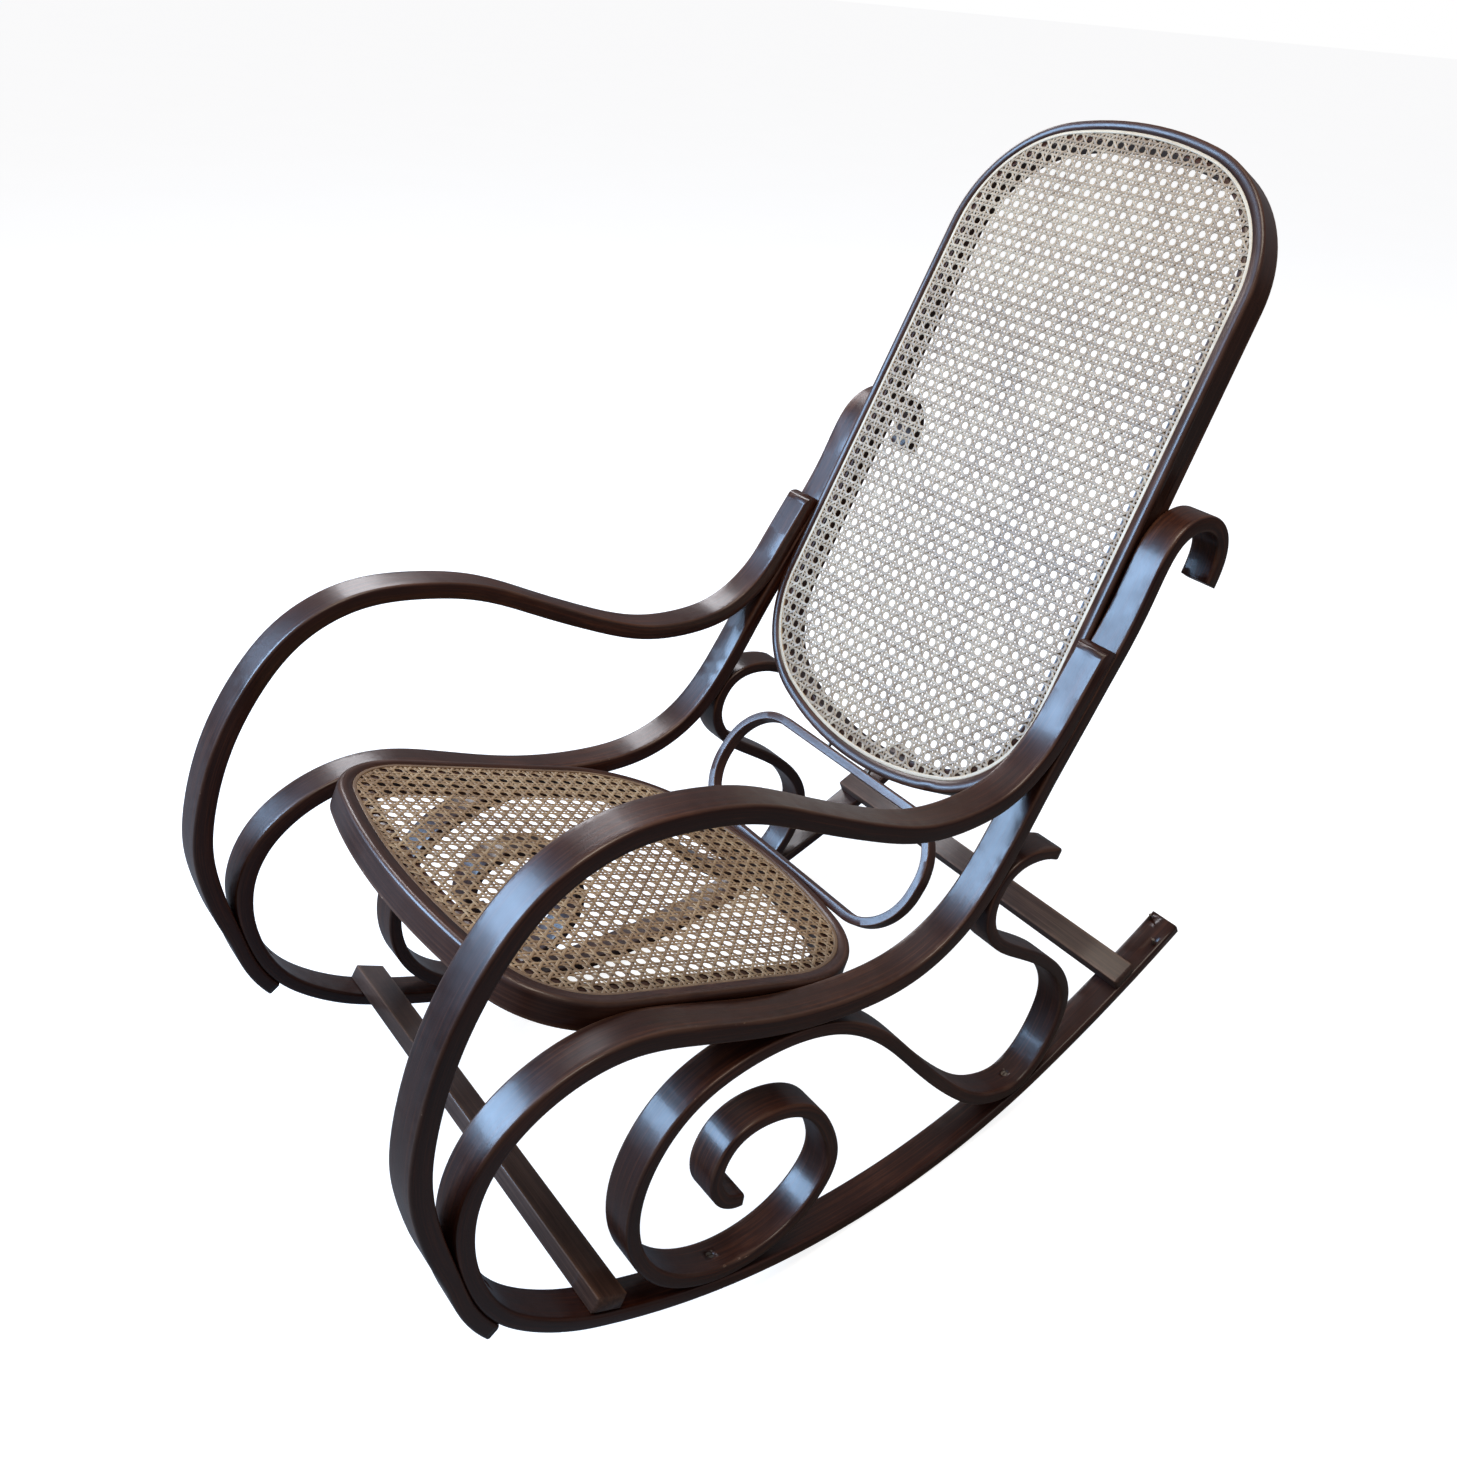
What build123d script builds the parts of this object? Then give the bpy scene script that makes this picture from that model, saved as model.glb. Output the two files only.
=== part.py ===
"""Bentwood rocking chair with a woven cane seat and back.

Millimetres, +Z up. The sitter faces -Y and X = 0 is the plane of symmetry. Z = 0 is the floor
under the runners, and Y = 0 is halfway along the chair.

Every piece is first made on the side drawing, where x runs to the rear, y runs up and z runs
out to the sitter's left. Rings are made lying flat and then set on their planes in the drawing.
drawing_plane() turns the drawing to the angle at which the empty chair balances on the floor.
"""
import os
from math import acos, cos, radians, sin

from build123d import *

os.makedirs("parts", exist_ok=True)

# Overall width and the strips of the side frames
overall_width = 525
strip_width = 38
strip_thickness = 18
runner_thickness = 13
arm_toe_thickness = 13
scroll_thickness = 13.5
edge_radius = 3
contact_gap = 0.1
half_width = overall_width / 2
inner_half_width = half_width - strip_width
mid_strip = half_width - strip_width / 2

# Runner: a long arc, then a flatter tail
runner_radius = 720
runner_centre = (-25, runner_radius + runner_thickness / 2)
runner_start_angle = -18.2
tail_start_angle = 28.36
tail_radius = 1620
tail_sweep = 8.7

# Turn of the side drawing about X at which the empty chair balances, and its shift along Y
rest_pitch = -11.83
chair_shift = -12.51

# Seat frame, in the seat's own plane, where the second axis runs to the rear
seat_centre = (-147.2, 311.6)
seat_slope = -10.6
seat_front = -214.7
seat_rear = 243
seat_front_radii = (92, 720)
seat_rear_radii = (140, 450)
seat_frame_height = 25
seat_frame_face = 34

# Back frame, in the back's own plane, where the second axis runs up
back_centre = (264.9, 726.6)
back_slope = 72.7
back_bottom = -360
back_top = 436
back_bottom_radii = (140, 380)
back_top_radii = (160, 430)
back_frame_depth = 34
back_frame_face = 26

# Lumbar ring, in its own plane, where the second axis runs up
lumbar_centre = (122.8, 320.9)
lumbar_slope = 62.9
lumbar_half_length = 176.5
lumbar_half_height = 70
lumbar_corner = 66
lumbar_depth = 15
lumbar_face = 10

# Cane sheets lie in a rebate, and a spline holds their edge down in a groove
frame_edge_radius = 4
lumbar_edge_radius = 1.5
rim_inset = 13
groove_width = 4.5
groove_depth = 5
rebate_depth = 2.5
spline_width = 4.3
spline_height = 4.6
cane_thickness = 2
cane_gap = 0.1

# Stretchers lie on the runners
stretcher_width = 32
stretcher_thickness = 15
stretcher_chamfer = 3
stretcher_lift = 0.2
stretcher_end_inset = 1
front_stretcher_angle = -17.2
rear_stretcher_angle = 33.66

# Where the strips meet, as shares of their paths
arm_screw_shares = (0.139, 0.157)
toe_screw_share = 0.568
grip_shares = (0.1255, 0.137, 0.1485, 0.16, 0.168)
toe_shares = (0.549, 0.559, 0.569, 0.58)
rail_contact = 0.4875
post_contact = 0.9487
runner_contacts = (0.25, 0.7215)

# Thickness of the strips along their paths
rocker_stations = (
    (0, strip_thickness), (0.49, strip_thickness), (0.527, 16.5), (0.549, runner_thickness),
    (1, runner_thickness),
)
arm_stations = (
    (0, strip_thickness), (0.84, strip_thickness), (0.9, 16), (0.935, arm_toe_thickness),
    (1, arm_toe_thickness),
)
scroll_stations = ((0, scroll_thickness), (1, scroll_thickness))
arm_end_radius = 14
stretcher_edge_radius = 1.5

# Wood screws
screw_radius = 2
screw_head_radius = 4
screw_head_angle = 82
screw_gap = 0.05
head_sink = 0.5
slot_width = 1
slot_depth = 0.8
tack_radius = 1.6
tack_height = 9
tack_angles = (36.69, 35.8)
screw_bite = 12
strip_screw = strip_thickness + screw_bite
toe_screw = 23
scroll_screw = 23
stretcher_screw = 24
seat_screw = seat_frame_face + screw_bite
back_screw = back_frame_face + screw_bite
lumbar_top_screw = lumbar_face + screw_bite
lumbar_bottom_screw = seat_frame_face + 10
pair_spread = 10
lumbar_screw_spread = 35


# ------------------------------------------------------------------------- curves
def on_runner(angle, radius):
    """Point of the side drawing at an angle and radius about the runner's centre."""
    turn = radians(angle)
    return Vector(runner_centre[0] + radius * sin(turn), runner_centre[1] - radius * cos(turn))


with BuildLine() as rocker_path:
    landing = [on_runner(angle, runner_radius) for angle in (-18.2, -16.6, -15)]
    crook_to_runner = Spline(
        (372, 682), (377, 706), (372, 733), (350, 750), (319, 751), (292, 735), (276, 706),
        (264, 666), (250, 627), (229, 580), (207.6, 532), (186, 484), (154, 405), (112, 334),
        (58, 297), (-20, 283), (-110, 288), (-200, 307), (-268, 316), (-328, 299), (-374, 254),
        (-386, 205), (-373, 150), (-340, 97), (-300, 66), *landing,
    )
    runner_arc = CenterArc(runner_centre, runner_radius, 270 - 15, 15 + tail_start_angle)
    tail = JernArc(runner_arc @ 1, runner_arc % 1, tail_radius, tail_sweep)

with BuildLine() as scroll_path:
    Spline(
        (-107, 104), (-130, 113), (-143, 140), (-130, 175), (-90, 187), (-45, 174),
        (-14, 140), (1, 98), (-20, 55), (-70, 28.2), (-116, 25.7), (-166, 42.5), (-207, 80),
        (-227, 130), (-222, 185), (-190, 234), (-140, 259.5), (-83, 268.1), (-30, 260.6),
        (35, 227), (95, 177), (165, 121), (215, 93), (247, 85.5), (272, 86.5), (300, 105),
        (318, 138), (323, 184), (300, 223), (250, 258), (205, 279), (167, 302),
        (149.5, 330), (151.2, 360), (164.3, 380), (190, 391), (233, 388),
    )


def along(path, share):
    """Point, forward tangent and left-hand normal of a path at a share of its length."""
    wire = path.wires()[0]
    tangent = wire % share
    return wire @ share, tangent, Vector(-tangent.Y, tangent.X)


# The toe of the arm lies against the front of the rocker's loop, and its grip along the post
toe_points = []
for share in toe_shares:
    point, _, normal = along(rocker_path, share)
    toe_points.append(point - normal * (runner_thickness + contact_gap))
grip_points = []
for share in grip_shares:
    point, _, normal = along(rocker_path, share)
    grip_points.append(point - normal * (strip_thickness + contact_gap))

with BuildLine() as arm_path:
    Spline(
        *grip_points, (165, 499), (131, 471), (82, 455), (20, 452), (-50, 467), (-120, 489),
        (-190, 510), (-254, 515), (-315, 507), (-368, 475), (-405, 418), (-424, 360),
        (-431, 298), (-428, 252), (-416.5, 213), (-402.5, 180), *toe_points,
    )


def ring_face(half, bottom, bottom_radii, top, top_radii, inset=0.0):
    """Face with straight sides and a three-centred arch at both ends."""
    with BuildSketch() as face:
        with BuildLine():
            knees = []
            for end, (corner, crown), up in ((top, top_radii, 1), (-bottom, bottom_radii, -1)):
                angle = acos((half - corner) / (crown - corner))
                middle = half - corner
                knee = end - crown + (crown - corner) * sin(angle)
                knees.append((half - inset, up * knee))
                corner -= inset
                shoulder = (middle + corner * cos(angle), up * (knee + corner * sin(angle)))
                bend = (middle + corner * cos(angle / 2), up * (knee + corner * sin(angle / 2)))
                ThreePointArc(knees[-1], bend, shoulder)
                ThreePointArc(shoulder, (0, up * (end - inset)), (-shoulder[0], shoulder[1]))
                ThreePointArc((inset - half, up * knee), (-bend[0], bend[1]), (-shoulder[0], shoulder[1]))
            Line(knees[0], knees[1])
            Line((-knees[0][0], knees[0][1]), (-knees[1][0], knees[1][1]))
        make_face()
    return face.sketch


def seat_face(inset=0.0):
    return ring_face(
        inner_half_width, seat_front, seat_front_radii, seat_rear, seat_rear_radii, inset
    )


def back_face(inset=0.0):
    return ring_face(
        inner_half_width, back_bottom, back_bottom_radii, back_top, back_top_radii, inset
    )


# ------------------------------------------------------------------------- planes
def ring_plane(centre, slope):
    """Plane of a ring in the side drawing: x across the chair, y along the slope."""
    turn = radians(slope)
    return Plane(origin=(*centre, 0), x_dir=(0, 0, 1), z_dir=(-sin(turn), cos(turn), 0))


def drawing_plane(out):
    """Plane of the side drawing in the standing chair, moved out to one side."""
    turn = radians(rest_pitch)
    pivot_y, pivot_z = runner_centre
    origin = (
        out,
        pivot_z * sin(turn) - pivot_y * cos(turn) + chair_shift,
        pivot_z - pivot_y * sin(turn) - pivot_z * cos(turn),
    )
    return Plane(origin=origin, x_dir=(0, cos(turn), sin(turn)), z_dir=(1, 0, 0))


side_place = drawing_plane(mid_strip).location
middle_place = drawing_plane(0).location
seat_place = middle_place * ring_plane(seat_centre, seat_slope).location
back_place = middle_place * ring_plane(back_centre, back_slope).location
lumbar_place = middle_place * ring_plane(lumbar_centre, lumbar_slope).location


def head_at(point, facing):
    """Place of a screw on a left side frame: its head is at the point and faces that way."""
    return side_place * Plane(origin=point, z_dir=facing).location


def head_on(path, share, thickness, side):
    """Screw place on the left (1) or right (-1) face of a strip, at a share of its path."""
    point, _, normal = along(path, share)
    return head_at(point + normal * (side * thickness / 2), normal * side)


def head_under(centre, radius, angle, out):
    """Screw place under an arc of the runner, its head facing the floor."""
    turn = radians(angle)
    down = Vector(sin(turn), -cos(turn))
    return head_at(Vector(*centre) + down * radius + Vector(0, 0, out), down)


tail_centre = (
    runner_centre[0] - (tail_radius - runner_radius) * sin(radians(tail_start_angle)),
    runner_centre[1] + (tail_radius - runner_radius) * cos(radians(tail_start_angle)),
)
# ------------------------------------------------------------------- makers
def thickness_at(stations, share):
    """Thickness between the stations, which are pairs of a share and the thickness there."""
    for (first, thick), (last, thin) in zip(stations, stations[1:]):
        if share <= last:
            return thick + (thin - thick) * (share - first) / (last - first)


def strip(path, stations, steps):
    """Bent strip along a path, with rounded arrises."""
    inner, outer = [], []
    for step in range(steps + 1):
        point, _, normal = along(path, step / steps)
        half = thickness_at(stations, step / steps) / 2
        inner.append(point + normal * half)
        outer.append(point - normal * half)
    with BuildPart() as bent:
        with BuildSketch():
            with BuildLine():
                upper = Spline(*inner)
                lower = Spline(*outer)
                Line(upper @ 0, lower @ 0)
                Line(upper @ 1, lower @ 1)
            make_face()
        extrude(amount=strip_width / 2, both=True)
        fillet(bent.edges().filter_by(GeomType.BSPLINE), edge_radius)
    return bent.part


def wood_screw(length):
    """Slotted countersunk screw pointing down, with its head just below Z = 0."""
    turn = radians(screw_head_angle / 2)
    head_height = (screw_head_radius - screw_radius) * cos(turn) / sin(turn)
    with BuildPart() as screw:
        with Locations((0, 0, -head_sink - head_height / 2)):
            Cone(screw_radius, screw_head_radius, head_height)
        with Locations((0, 0, -head_sink - length / 2)):
            Cylinder(screw_radius, length)
        with Locations((0, 0, -head_sink - slot_depth / 2)):
            Box(2 * screw_head_radius, slot_width, slot_depth, mode=Mode.SUBTRACT)
    return screw.part


def screw_hole(length):
    """Countersunk hole with a little room around a screw of this length."""
    with Locations((0, 0, -head_sink)):
        CounterSinkHole(
            screw_radius + screw_gap, screw_head_radius + screw_gap, length + 1, screw_head_angle
        )


def groove_ring(outline, inset, width):
    """Flat ring that follows an outline, between two insets."""
    with BuildSketch() as flat:
        add(outline(inset))
        add(outline(inset + width), mode=Mode.SUBTRACT)
    return flat.sketch


def cane_frame(outline, face, height, place):
    """Ring with a rounded outer edge, a rebate for the cane and a groove for the spline."""
    with BuildPart() as ring:
        with BuildSketch():
            add(groove_ring(outline, 0, face))
        extrude(amount=-height)
        outer = ring.faces().sort_by(Axis.Z)[-1].outer_wire().edges()
        fillet(outer, frame_edge_radius)
        with BuildSketch():
            add(outline(rim_inset + groove_width))
        extrude(amount=-rebate_depth, mode=Mode.SUBTRACT)
        with BuildSketch():
            add(groove_ring(outline, rim_inset, groove_width))
        extrude(amount=-groove_depth, mode=Mode.SUBTRACT)
    return ring.part.moved(place)


def cane_sheet(outline, place):
    """Woven cane as one thin sheet in the rebate of its frame."""
    with BuildPart() as sheet:
        with BuildSketch(Plane.XY.offset(cane_gap - rebate_depth)):
            add(outline(rim_inset + groove_width + cane_gap))
        extrude(amount=cane_thickness)
    return sheet.part.moved(place)


def cane_spline(outline, place):
    """Reed spline with a rounded top in the groove of its frame."""
    side_room = (groove_width - spline_width) / 2
    with BuildPart() as reed:
        with BuildSketch(Plane.XY.offset(cane_gap - groove_depth)):
            add(groove_ring(outline, rim_inset + side_room, spline_width))
        extrude(amount=spline_height)
        fillet(reed.faces().sort_by(Axis.Z)[-1].edges(), 1)
    return reed.part.moved(place)


# ------------------------------------------------------------------- screw places
def ring_places(place, spots):
    """Screw places on a ring: each spot is a point of the ring and the way the head faces."""
    return [place * Plane(origin=point, z_dir=facing).location for point, facing in spots]


arm_top_places = [
    head_on(rocker_path, share, strip_thickness, 1) for share in arm_screw_shares
]
arm_toe_places = [head_on(rocker_path, toe_screw_share, runner_thickness, 1)]
scroll_rail_places = [head_on(scroll_path, rail_contact, scroll_thickness, -1)]
scroll_post_places = [head_on(scroll_path, post_contact, scroll_thickness, -1)]
scroll_runner_places = [
    head_on(scroll_path, share, scroll_thickness, side)
    for share, side in zip(runner_contacts, (-1, 1))
]
stretcher_places = [
    head_under(centre, radius + runner_thickness / 2, angle, out)
    for centre, radius, angle in (
        (runner_centre, runner_radius, front_stretcher_angle),
        (tail_centre, tail_radius, rear_stretcher_angle),
    )
    for out in (-pair_spread, pair_spread)
]
tack_places = [
    head_under(tail_centre, tail_radius - runner_thickness / 2, angle, out)
    for angle, out in ((tack_angles[0], -13), (tack_angles[1], 12))
]
seat_places = ring_places(
    seat_place,
    [((inner_half_width - seat_frame_face, along_seat, -12.5), (-1, 0, 0))
     for along_seat in (-70, 70)],
)
back_places = ring_places(
    back_place,
    [((inner_half_width - back_frame_face, -128, -12), (-1, 0, 0)),
     ((inner_half_width - back_frame_face, -172, -8.5), (-1, 0, 0))],
)
lumbar_top_places = ring_places(
    lumbar_place,
    [((out, lumbar_half_height - lumbar_face, -lumbar_depth / 2), (0, -1, 0))
     for out in (-lumbar_screw_spread, lumbar_screw_spread)],
)
lumbar_bottom_places = ring_places(
    seat_place,
    [((out, seat_rear - seat_frame_face, -9.5), (0, -1, 0))
     for out in (-lumbar_screw_spread, lumbar_screw_spread)],
)


# --------------------------------------------------------------------- side frames
with BuildPart() as rocker_left:
    add(strip(rocker_path, rocker_stations, 110).moved(side_place))
    with Locations(*arm_top_places):
        screw_hole(strip_screw)
    with Locations(*arm_toe_places):
        screw_hole(toe_screw)
    with Locations(*scroll_rail_places, *scroll_post_places, *scroll_runner_places):
        screw_hole(scroll_screw)
    with Locations(*stretcher_places):
        screw_hole(stretcher_screw)
    with Locations(*seat_places):
        screw_hole(seat_screw)
    with Locations(*back_places):
        screw_hole(back_screw)
    with Locations(*tack_places):
        Hole(tack_radius + screw_gap, tack_height + screw_gap)

with BuildPart() as rocker_right:
    mirror(rocker_left.part, about=Plane.YZ)

# The top end of the arm is rounded back to the post
with BuildPart() as arm_blank:
    add(strip(arm_path, arm_stations, 60))
    top, top_heading, _ = along(arm_path, 0)
    with BuildSketch(Plane(top, x_dir=top_heading, z_dir=(0, 0, 1))):
        with Locations((arm_end_radius, arm_end_radius - strip_thickness / 2)):
            Rectangle(
                2 * arm_end_radius, 2 * arm_end_radius, align=(Align.MAX, Align.MAX)
            )
        with Locations((arm_end_radius, arm_end_radius - strip_thickness / 2)):
            Circle(arm_end_radius, mode=Mode.SUBTRACT)
    extrude(amount=strip_width, both=True, mode=Mode.SUBTRACT)

with BuildPart() as arm_left:
    add(arm_blank.part.moved(side_place))
    with Locations(*arm_top_places):
        screw_hole(strip_screw)
    with Locations(*arm_toe_places):
        screw_hole(toe_screw)

with BuildPart() as arm_right:
    mirror(arm_left.part, about=Plane.YZ)

with BuildPart() as scroll_left:
    add(strip(scroll_path, scroll_stations, 90).moved(side_place))
    with Locations(*scroll_rail_places, *scroll_post_places, *scroll_runner_places):
        screw_hole(scroll_screw)

with BuildPart() as scroll_right:
    mirror(scroll_left.part, about=Plane.YZ)


# ---------------------------------------------------------------------- stretchers
def stretcher(centre, radius, angle):
    """Straight bar across both runners, lying on their upper faces."""
    turn = radians(angle)
    up = Vector(-sin(turn), cos(turn))
    foot = Vector(*centre) - up * (radius - runner_thickness / 2 - stretcher_lift)
    plane = Plane(origin=foot, x_dir=(0, 0, 1), z_dir=up)
    with BuildPart() as bar:
        with BuildSketch():
            Rectangle(2 * (half_width - stretcher_end_inset), stretcher_width)
        extrude(amount=stretcher_thickness)
        chamfer(bar.faces().filter_by(Axis.X).edges(), stretcher_chamfer)
        fillet(bar.edges().filter_by(Axis.X), stretcher_edge_radius)
    return bar.part.moved(middle_place * plane.location)


with BuildPart() as front_stretcher:
    add(stretcher(runner_centre, runner_radius, front_stretcher_angle))
    with Locations(*stretcher_places[:2]):
        screw_hole(stretcher_screw)
    split(bisect_by=Plane.YZ, keep=Keep.TOP)
    mirror(about=Plane.YZ)

with BuildPart() as rear_stretcher:
    add(stretcher(tail_centre, tail_radius, rear_stretcher_angle))
    with Locations(*stretcher_places[2:]):
        screw_hole(stretcher_screw)
    split(bisect_by=Plane.YZ, keep=Keep.TOP)
    mirror(about=Plane.YZ)


# ------------------------------------------------------------- seat, back and lumbar
with BuildPart() as seat_frame:
    add(cane_frame(seat_face, seat_frame_face, seat_frame_height, seat_place))
    with Locations(*seat_places):
        screw_hole(seat_screw)
    split(bisect_by=Plane.YZ, keep=Keep.TOP)
    mirror(about=Plane.YZ)
    with Locations(*lumbar_bottom_places):
        screw_hole(lumbar_bottom_screw)

with BuildPart() as seat_cane:
    add(cane_sheet(seat_face, seat_place))

with BuildPart() as seat_spline:
    add(cane_spline(seat_face, seat_place))

with BuildPart() as back_frame:
    add(cane_frame(back_face, back_frame_face, back_frame_depth, back_place))
    with Locations(*back_places):
        screw_hole(back_screw)
    split(bisect_by=Plane.YZ, keep=Keep.TOP)
    mirror(about=Plane.YZ)
    with Locations(*lumbar_top_places):
        screw_hole(lumbar_top_screw)

with BuildPart() as back_cane:
    add(cane_sheet(back_face, back_place))

with BuildPart() as back_spline:
    add(cane_spline(back_face, back_place))

with BuildPart() as lumbar_blank:
    with BuildSketch():
        RectangleRounded(2 * lumbar_half_length, 2 * lumbar_half_height, lumbar_corner)
        RectangleRounded(
            2 * (lumbar_half_length - lumbar_face),
            2 * (lumbar_half_height - lumbar_face),
            lumbar_corner - lumbar_face,
            mode=Mode.SUBTRACT,
        )
    extrude(amount=-lumbar_depth)
    fillet(lumbar_blank.faces().filter_by(Axis.Z).edges(), lumbar_edge_radius)

with BuildPart() as lumbar_ring:
    add(lumbar_blank.part.moved(lumbar_place))
    with Locations(*lumbar_top_places):
        screw_hole(lumbar_top_screw)
    with Locations(*lumbar_bottom_places):
        screw_hole(lumbar_bottom_screw)


# -------------------------------------------------------------------------- screws
def screws(places, length, both_sides=True):
    """Screws at their places, and on the right side of the chair as well."""
    with BuildPart() as group:
        with Locations(*places):
            add(wood_screw(length))
        if both_sides:
            mirror(about=Plane.YZ)
    return group.part


def tacks(places):
    """Round tacks, standing on the tops of the runner tails."""
    with BuildPart() as group:
        with Locations(*places):
            Cylinder(tack_radius, tack_height, align=(Align.CENTER, Align.CENTER, Align.MAX))
        mirror(about=Plane.YZ)
    return group.part


with BuildPart() as arm_top_screws:
    add(screws(arm_top_places, strip_screw))

with BuildPart() as arm_toe_screws:
    add(screws(arm_toe_places, toe_screw))

with BuildPart() as scroll_rail_screws:
    add(screws(scroll_rail_places, scroll_screw))

with BuildPart() as scroll_post_screws:
    add(screws(scroll_post_places, scroll_screw))

with BuildPart() as scroll_runner_screws:
    add(screws(scroll_runner_places, scroll_screw))

with BuildPart() as stretcher_screws:
    add(screws(stretcher_places, stretcher_screw))

with BuildPart() as seat_screws:
    add(screws(seat_places, seat_screw))

with BuildPart() as back_screws:
    add(screws(back_places, back_screw))

with BuildPart() as lumbar_top_screws:
    add(screws(lumbar_top_places, lumbar_top_screw, both_sides=False))

with BuildPart() as lumbar_bottom_screws:
    add(screws(lumbar_bottom_places, lumbar_bottom_screw, both_sides=False))

with BuildPart() as runner_tacks:
    add(tacks(tack_places))


# -------------------------------------------------------------------------- export
rocker_left.part.label = "rocker_left"
rocker_right.part.label = "rocker_right"
arm_left.part.label = "arm_left"
arm_right.part.label = "arm_right"
scroll_left.part.label = "scroll_left"
scroll_right.part.label = "scroll_right"
front_stretcher.part.label = "front_stretcher"
rear_stretcher.part.label = "rear_stretcher"
seat_frame.part.label = "seat_frame"
seat_cane.part.label = "seat_cane"
seat_spline.part.label = "seat_spline"
back_frame.part.label = "back_frame"
back_cane.part.label = "back_cane"
back_spline.part.label = "back_spline"
lumbar_ring.part.label = "lumbar_ring"
arm_top_screws.part.label = "arm_top_screws"
arm_toe_screws.part.label = "arm_toe_screws"
scroll_rail_screws.part.label = "scroll_rail_screws"
scroll_post_screws.part.label = "scroll_post_screws"
scroll_runner_screws.part.label = "scroll_runner_screws"
stretcher_screws.part.label = "stretcher_screws"
seat_screws.part.label = "seat_screws"
back_screws.part.label = "back_screws"
lumbar_top_screws.part.label = "lumbar_top_screws"
lumbar_bottom_screws.part.label = "lumbar_bottom_screws"
runner_tacks.part.label = "runner_tacks"

export_step(rocker_left.part, "parts/rocker_left.step")
export_step(rocker_right.part, "parts/rocker_right.step")
export_step(arm_left.part, "parts/arm_left.step")
export_step(arm_right.part, "parts/arm_right.step")
export_step(scroll_left.part, "parts/scroll_left.step")
export_step(scroll_right.part, "parts/scroll_right.step")
export_step(front_stretcher.part, "parts/front_stretcher.step")
export_step(rear_stretcher.part, "parts/rear_stretcher.step")
export_step(seat_frame.part, "parts/seat_frame.step")
export_step(seat_cane.part, "parts/seat_cane.step")
export_step(seat_spline.part, "parts/seat_spline.step")
export_step(back_frame.part, "parts/back_frame.step")
export_step(back_cane.part, "parts/back_cane.step")
export_step(back_spline.part, "parts/back_spline.step")
export_step(lumbar_ring.part, "parts/lumbar_ring.step")
export_step(arm_top_screws.part, "parts/arm_top_screws.step")
export_step(arm_toe_screws.part, "parts/arm_toe_screws.step")
export_step(scroll_rail_screws.part, "parts/scroll_rail_screws.step")
export_step(scroll_post_screws.part, "parts/scroll_post_screws.step")
export_step(scroll_runner_screws.part, "parts/scroll_runner_screws.step")
export_step(stretcher_screws.part, "parts/stretcher_screws.step")
export_step(seat_screws.part, "parts/seat_screws.step")
export_step(back_screws.part, "parts/back_screws.step")
export_step(lumbar_top_screws.part, "parts/lumbar_top_screws.step")
export_step(lumbar_bottom_screws.part, "parts/lumbar_bottom_screws.step")
export_step(runner_tacks.part, "parts/runner_tacks.step")
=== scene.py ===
"""Looks of the bentwood rocking chair: lacquered wood, woven cane, splines, light and camera."""

import math

import bmesh
import bpy
import numpy as np
from mathutils import Matrix, Vector


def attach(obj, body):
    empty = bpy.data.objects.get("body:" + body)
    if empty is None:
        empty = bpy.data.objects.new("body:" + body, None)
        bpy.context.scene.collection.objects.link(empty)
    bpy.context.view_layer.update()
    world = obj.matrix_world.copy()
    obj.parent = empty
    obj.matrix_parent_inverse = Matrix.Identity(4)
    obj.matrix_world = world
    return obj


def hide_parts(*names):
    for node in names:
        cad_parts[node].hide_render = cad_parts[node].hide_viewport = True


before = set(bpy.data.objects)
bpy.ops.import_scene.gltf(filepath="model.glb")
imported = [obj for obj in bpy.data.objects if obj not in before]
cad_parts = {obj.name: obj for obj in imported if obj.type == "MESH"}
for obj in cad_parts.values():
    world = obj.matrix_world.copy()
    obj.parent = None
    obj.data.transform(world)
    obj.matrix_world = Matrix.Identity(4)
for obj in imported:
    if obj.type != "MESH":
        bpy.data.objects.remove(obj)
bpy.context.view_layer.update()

MM = 0.001
HALF = 262.5
STRIP = 38.0
INNER = HALF - STRIP
MID = HALF - STRIP / 2

# Half thicknesses of the bent strips, and half sizes of the rings' and bars' sections
ROCKER_HALF = 8.5
ARM_HALF = 9
SCROLL_HALF = 6.75
SEAT_HALF_DEPTH, SEAT_HALF_FACE = 12.5, 17
BACK_HALF_DEPTH, BACK_HALF_FACE = 17, 13
LUMBAR_HALF_DEPTH, LUMBAR_HALF_FACE = 7.5, 5
BAR_HALF_DEPTH, BAR_HALF_FACE = 7.5, 16
BAR_SINK = 6.5
REED_INSET, REED_DEPTH = 15.25, -2.5
REED_HALF_DEPTH, REED_HALF_FACE = 2.3, 2.15

# The runner's arc and the flatter arc of its tail
RUNNER_RADIUS = 720
TAIL_RADIUS = 1620
TAIL_ANGLE = 28.36
TAIL_END = 37.06
FRONT_BAR_ANGLE = -17.2
REAR_BAR_ANGLE = 33.66

# How the side drawing of the CAD source stands in the chair
PITCH = math.radians(-11.83)
SHIFT = -12.51
ARC = (-25.0, 726.5)
ORIGIN_Y = ARC[1] * math.sin(PITCH) - ARC[0] * math.cos(PITCH) + SHIFT
ORIGIN_Z = ARC[1] - ARC[0] * math.sin(PITCH) - ARC[1] * math.cos(PITCH)


def turned(v):
    """A direction of the side drawing (out, rear, up) in the standing chair."""
    c, s = math.cos(PITCH), math.sin(PITCH)
    return np.array([v[0], v[1] * c - v[2] * s, v[1] * s + v[2] * c])


def standing(p):
    """A point of the side drawing in the standing chair, in metres."""
    return (turned(p) + np.array([0, ORIGIN_Y, ORIGIN_Z])) * MM


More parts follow.
